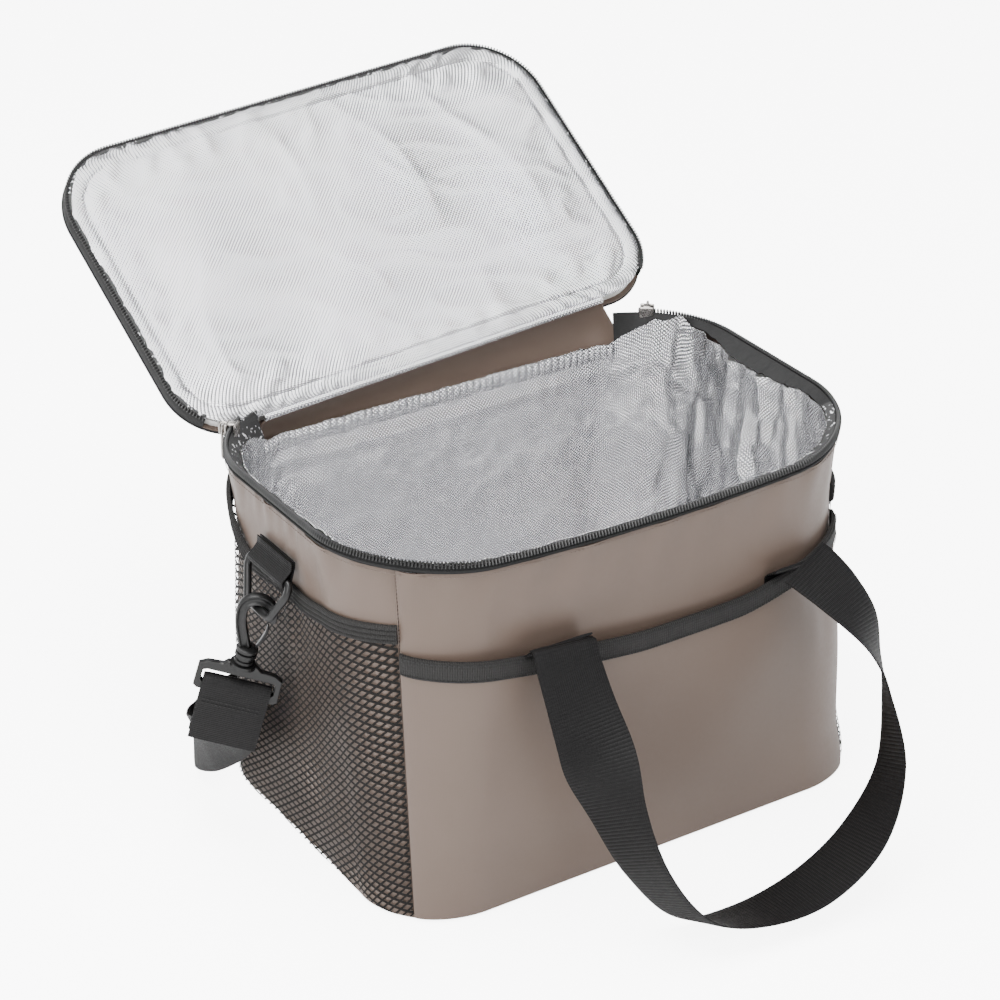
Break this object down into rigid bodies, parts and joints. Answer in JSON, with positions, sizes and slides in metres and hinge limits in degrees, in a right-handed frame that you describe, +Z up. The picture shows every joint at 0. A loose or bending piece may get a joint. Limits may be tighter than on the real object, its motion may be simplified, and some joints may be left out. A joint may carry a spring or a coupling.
{
  "type": "insulated cooler bag",
  "caption": "Soft rectangular insulated bag with a zipped padded lid, foil lining, front and mesh side pockets, webbing handles and a clip-on shoulder strap.",
  "frame": {"origin": "centre of the underside of the base panel, on the floor", "axes": "+Z up; +X along the long side; the front, with the large pocket, faces -Y"},
  "size_m": [0.4298, 0.5071, 0.3382],
  "materials": {
    "taupe_fabric": "coated oxford fabric, matt",
    "foil": "metallised insulating film, embossed",
    "foam": "closed-cell insulating foam",
    "black_webbing": "ribbed polyester webbing and tape",
    "black_net": "elastic knitted net over taupe",
    "zip_teeth": "coil zip teeth",
    "black_plastic": "moulded acetal, satin",
    "nickel": "nickel-plated die casting"
  },
  "bodies": {
    "bag": {"base_panel": "taupe_fabric", "front_panel": "taupe_fabric", "back_panel": "taupe_fabric", "left_side_panel": "taupe_fabric", "right_side_panel": "taupe_fabric", "front_pocket_panel": "taupe_fabric", "hinge_strip": "taupe_fabric", "liner_walls": "foil", "liner_floor": "foil", "base_foam": "foam", "front_foam": "foam", "back_foam": "foam", "left_foam": "foam", "right_foam": "foam", "front_pocket_binding": "black_webbing", "pocket_elastic_left": "black_webbing", "pocket_elastic_right": "black_webbing", "body_zip_tape": "black_webbing", "zip_end_tab_left": "black_webbing", "zip_end_tab_right": "black_webbing", "front_handle_anchor_left": "black_webbing", "front_handle_anchor_right": "black_webbing", "back_handle_anchor_left": "black_webbing", "back_handle_anchor_right": "black_webbing", "ring_tab_left": "black_webbing", "ring_tab_right": "black_webbing", "shoulder_strap": "black_webbing", "mesh_pocket_left": "black_net", "mesh_pocket_right": "black_net", "body_zip_teeth": "zip_teeth"},
    "lid": {"lid_outer_panel": "taupe_fabric", "lid_foam": "foam", "lid_liner": "foil", "lid_zip_tape": "black_webbing", "lid_zip_teeth": "zip_teeth", "lid_hinge_hem": "taupe_fabric"},
    "front_handle": {"front_handle": "black_webbing"},
    "back_handle": {"back_handle": "black_webbing"},
    "adjuster": {"strap_adjuster": "black_plastic"},
    "slider_left": {"slider_left": "nickel"},
    "puller_left": {"puller_left": "nickel"},
    "ring_left": {"d_ring_left": "black_plastic"},
    "strap_end_left": {"strap_base_left": "black_plastic", "strap_end_left": "black_webbing"},
    "hook_left": {"snap_hook_left": "black_plastic"},
    "gate_left": {"hook_gate_left": "black_plastic"},
    "slider_right": {"slider_right": "nickel"},
    "puller_right": {"puller_right": "nickel"},
    "ring_right": {"d_ring_right": "black_plastic"},
    "strap_end_right": {"strap_base_right": "black_plastic", "strap_end_right": "black_webbing"},
    "hook_right": {"snap_hook_right": "black_plastic"},
    "gate_right": {"hook_gate_right": "black_plastic"}
  },
  "joints": [
    {"name": "lid_hinge", "type": "hinge", "parent": "bag", "child": "lid", "pos_m": [0, 0.096, 0.2185], "axis": [0.9994, 0.028, 0.018], "range_deg": [0, 145]},
    {"name": "front_handle_swing", "type": "hinge", "parent": "bag", "child": "front_handle", "pos_m": [0.016, -0.125, 0.16], "axis": [-1, 0, 0], "range_deg": [0, 112]},
    {"name": "back_handle_swing", "type": "hinge", "parent": "bag", "child": "back_handle", "pos_m": [0, 0.116, 0.166], "axis": [1, 0, 0], "range_deg": [0, 105]},
    {"name": "adjuster_slide", "type": "slide", "parent": "bag", "child": "adjuster", "axis": [1, 0, 0], "range_m": [-0.01, 0.01]},
    {"name": "slider_left_run", "type": "hinge", "parent": "bag", "child": "slider_left", "pos_m": [-0.096, 0.039, 0.22], "axis": [0, 0, 1], "range_deg": [0, 38]},
    {"name": "puller_left_swing", "type": "hinge", "parent": "slider_left", "child": "puller_left", "pos_m": [-0.1479, 0.0909, 0.2196], "axis": [0.7071, 0.7071, 0], "range_deg": [0, 150]},
    {"name": "ring_left_swing", "type": "hinge", "parent": "bag", "child": "ring_left", "pos_m": [-0.17, 0, 0.178], "axis": [0, 1, 0], "range_deg": [0, 50]},
    {"name": "strap_end_left_swing", "type": "hinge", "parent": "bag", "child": "strap_end_left", "pos_m": [-0.17, 0, 0.178], "axis": [0, 1, 0], "range_deg": [0, 50]},
    {"name": "hook_left_swivel", "type": "hinge", "parent": "strap_end_left", "child": "hook_left", "pos_m": [-0.18489, 0.00438, 0.12683], "axis": [0.227, -0.145, 0.963], "range_deg": [-14, 14]},
    {"name": "gate_left_press", "type": "hinge", "parent": "hook_left", "child": "gate_left", "pos_m": [-0.18005, 0.00128, 0.13218], "axis": [-0.539, -0.8423, 0.0002], "range_deg": [0, 14], "stiffness_Nm_per_rad": 0.02, "springref_deg": -8.59},
    {"name": "slider_right_run", "type": "hinge", "parent": "bag", "child": "slider_right", "pos_m": [0.096, 0.039, 0.22], "axis": [0, 0, -1], "range_deg": [0, 38]},
    {"name": "puller_right_swing", "type": "hinge", "parent": "slider_right", "child": "puller_right", "pos_m": [0.14318, 0.09523, 0.2196], "axis": [0.766, -0.6428, 0], "range_deg": [0, 150]},
    {"name": "ring_right_swing", "type": "hinge", "parent": "bag", "child": "ring_right", "pos_m": [0.17, 0, 0.178], "axis": [0, -1, 0], "range_deg": [0, 50]},
    {"name": "strap_end_right_swing", "type": "hinge", "parent": "bag", "child": "strap_end_right", "pos_m": [0.17, 0, 0.178], "axis": [0, -1, 0], "range_deg": [0, 50]},
    {"name": "hook_right_swivel", "type": "hinge", "parent": "strap_end_right", "child": "hook_right", "pos_m": [0.18489, 0.00438, 0.12683], "axis": [0.227, 0.145, -0.963], "range_deg": [-14, 14]},
    {"name": "gate_right_press", "type": "hinge", "parent": "hook_right", "child": "gate_right", "pos_m": [0.18005, 0.00128, 0.13218], "axis": [-0.539, 0.8423, -0.0002], "range_deg": [0, 14], "stiffness_Nm_per_rad": 0.02, "springref_deg": -8.59}
  ],
  "couplings": [
    {"joint": "strap_end_left_swing", "follows": "ring_left_swing", "ratio": 1},
    {"joint": "strap_end_right_swing", "follows": "ring_right_swing", "ratio": 1}
  ]
}
